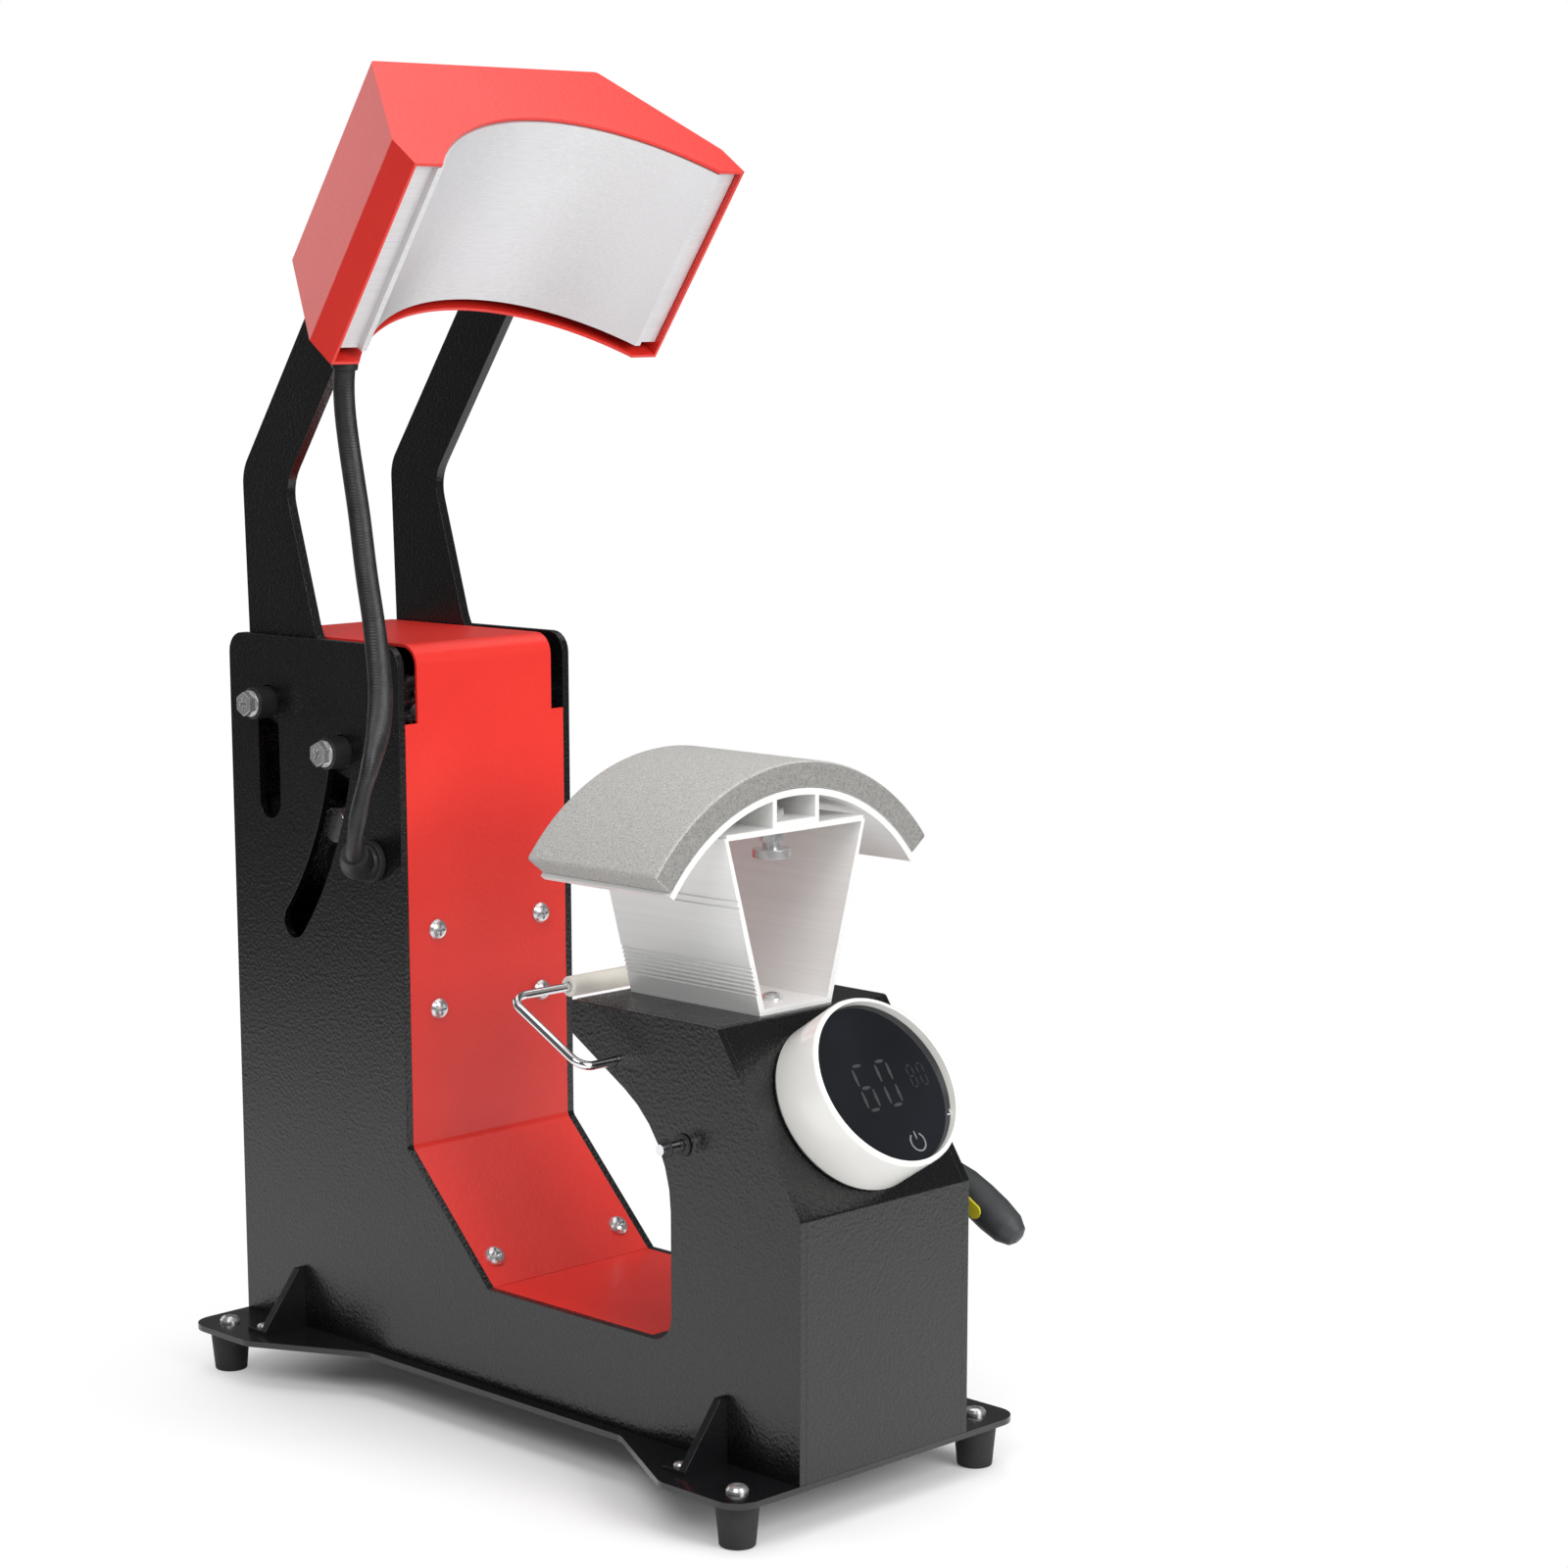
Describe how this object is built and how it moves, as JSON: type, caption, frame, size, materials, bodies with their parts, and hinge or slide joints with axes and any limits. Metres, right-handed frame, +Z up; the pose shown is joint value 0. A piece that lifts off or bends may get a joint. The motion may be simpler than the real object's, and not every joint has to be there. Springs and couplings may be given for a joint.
{
  "type": "cap heat press",
  "caption": "Heat press for caps: a curved heated head swings down on arms over a padded saddle on a C-shaped steel body.",
  "frame": {"origin": "middle of the whole press in plan, at the level of the table; the head is up", "axes": "+X to the operator's right, -Y towards the operator, +Z up"},
  "size_m": [0.2008, 0.4148, 0.6326],
  "materials": {
    "black_paint": "hammered black paint",
    "red_paint": "gloss hammered red paint",
    "black_steel": "satin black",
    "zinc": "zinc plated",
    "chrome": "polished",
    "spring_steel": "drawn wire",
    "extrusion": "satin extruded",
    "heater": "brushed",
    "silicone": "matte sponge",
    "black_rubber": "matte",
    "grip_rubber": "satin",
    "black_nylon": "satin",
    "white_plastic": "gloss white",
    "black_glass": "gloss black",
    "circuit_board": "solder mask",
    "red_plastic": "gloss",
    "yellow_plastic": "satin",
    "off_white_plastic": "satin",
    "mineral_wool": "fibre",
    "magnet_steel": "nickel plated"
  },
  "bodies": {
    "body": {"base_plate": "black_paint", "rubber_feet": "black_rubber", "base_screws": "zinc", "gussets": "black_paint", "left_side_plate": "black_paint", "right_side_plate": "black_paint", "front_panel": "black_paint", "throat_liner": "black_paint", "column_cover": "red_paint", "floor_cover": "red_paint", "rear_cover": "black_paint", "cover_screws": "zinc", "tie_bar": "zinc", "bar_bracket": "black_steel", "hold_magnet": "magnet_steel", "magnet_bracket": "black_steel", "spring_anchors": "zinc", "left_spring": "spring_steel", "right_spring": "spring_steel", "pedestal": "extrusion", "saddle": "extrusion", "foam_pad": "silicone", "pressure_bolts": "zinc", "pedestal_screws": "zinc", "dial_ring": "white_plastic", "dial_base": "black_nylon", "dial_glass": "black_glass", "display_board": "circuit_board", "control_board": "circuit_board", "power_inlet": "black_nylon", "switch_housing": "black_nylon", "body_grommet": "black_rubber", "head_cable": "black_rubber", "shaft_bushes": "black_nylon"},
    "carriage": {"rear_guide_shaft": "zinc", "rear_rollers": "black_nylon", "rear_guide_screws": "zinc", "keeper": "zinc"},
    "head": {"left_arm": "black_paint", "right_arm": "black_paint", "front_guide_pins": "zinc", "front_rollers": "black_nylon", "front_guide_screws": "zinc", "head_housing": "red_paint", "head_bracket": "black_steel", "head_screws": "zinc", "arm_bolts": "zinc", "heater_plate": "heater", "heater_terminals": "zinc", "insulation": "mineral_wool", "head_gland": "black_nylon"},
    "handle": {"handle_shaft": "chrome", "handle_grip": "grip_rubber", "grip_inserts": "yellow_plastic", "retaining_clip": "black_steel"},
    "bail": {"bail_wire": "chrome", "bail_tube": "black_steel", "bail_sleeve": "off_white_plastic"},
    "link": {"link_bar": "zinc"},
    "rocker": {"switch_rocker": "red_plastic"}
  },
  "joints": [
    {"name": "carriage_drop", "type": "slide", "parent": "body", "child": "carriage", "axis": [0, 0, -1], "range_m": [0, 0.049], "stiffness_N_per_m": 900, "springref_m": -0.1, "deforming": ["left_spring", "right_spring"]},
    {"name": "head_swing", "type": "hinge", "parent": "carriage", "child": "head", "pos_m": [0, 0.17436, 0.3362], "axis": [1, 0, 0], "range_deg": [0, 54.4], "stiffness_Nm_per_rad": 5, "springref_deg": -114.59, "deforming": ["head_cable"]},
    {"name": "handle_turn", "type": "hinge", "parent": "body", "child": "handle", "pos_m": [0, -0.11464, 0.163], "axis": [-1, 0, 0], "range_deg": [0, 50]},
    {"name": "bail_turn", "type": "hinge", "parent": "body", "child": "bail", "pos_m": [0, -0.07165, 0.194], "axis": [-1, 0, 0], "range_deg": [0, 50]},
    {"name": "link_turn", "type": "hinge", "parent": "handle", "child": "link", "pos_m": [-0.03, -0.12459, 0.16971], "axis": [-1, 0, 0], "range_deg": [-50, 0]},
    {"name": "rocker_tilt", "type": "hinge", "parent": "body", "child": "rocker", "pos_m": [0, 0.20036, 0.106], "axis": [-1, 0, 0], "range_deg": [0, 14]}
  ],
  "couplings": [
    {"joint": "carriage_drop", "follows": "head_swing", "m_per_rad": 0.051603},
    {"joint": "bail_turn", "follows": "handle_turn", "ratio": 1},
    {"joint": "link_turn", "follows": "handle_turn", "ratio": -1}
  ]
}
